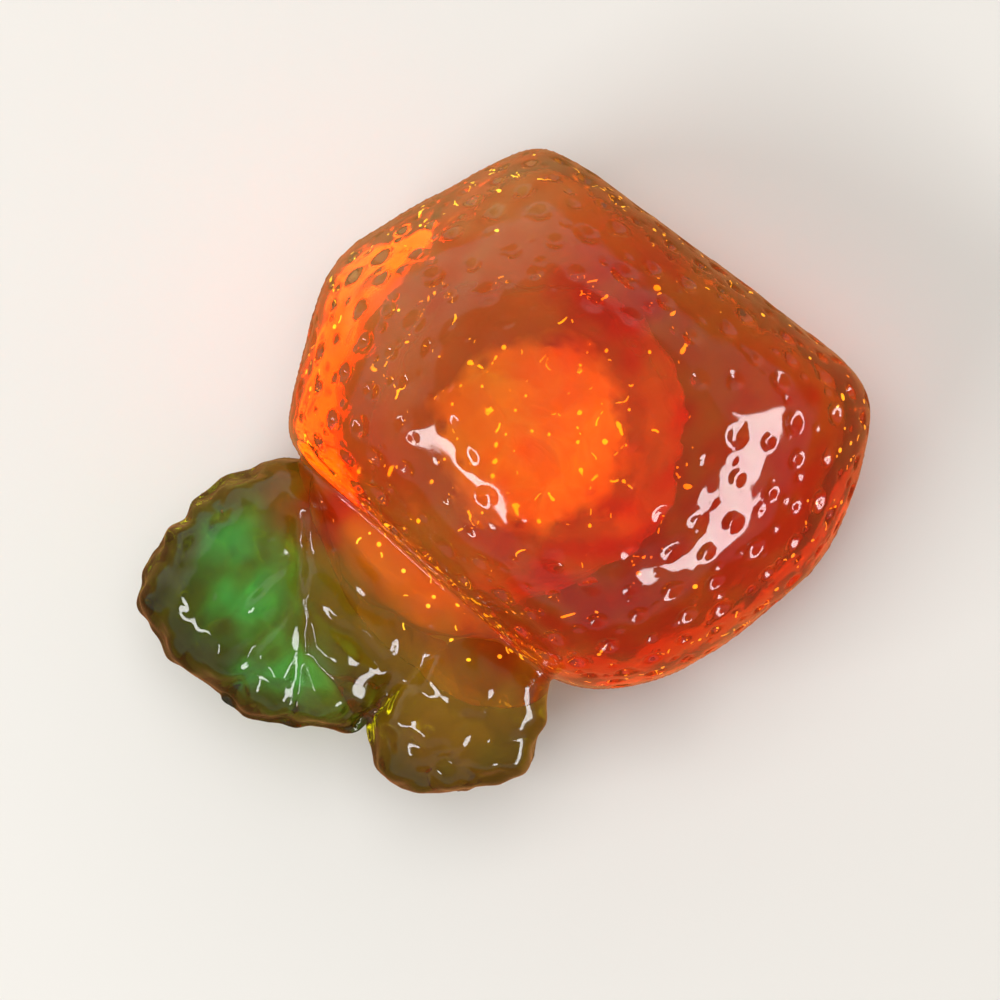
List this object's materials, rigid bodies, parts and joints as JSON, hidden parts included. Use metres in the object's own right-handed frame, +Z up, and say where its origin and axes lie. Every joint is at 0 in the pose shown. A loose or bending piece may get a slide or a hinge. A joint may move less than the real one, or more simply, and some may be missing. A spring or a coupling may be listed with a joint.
{
  "type": "filled gummy candy",
  "caption": "Orange-shaped gel sweet with a pored dome, a sharp rim and a smooth bulged back, carrying a pair of fat green gel leaves; the soft filling shows through the gel.",
  "frame": {"origin": "middle of the outline, at the flat spot that the candy lies on", "axes": "+Z up through the pored dome, -Y from the fruit towards the leaves, X across the candy"},
  "size_m": [0.0232, 0.0276, 0.0149],
  "materials": {
    "orange_gel": "glossy translucent orange gel, pored",
    "green_gel": "glossy translucent green gel",
    "soft_filling": "soft cloudy orange filling seen through the gel"
  },
  "bodies": {
    "root": {"fruit": "orange_gel", "leaves": "green_gel"}
  },
  "joints": []
}
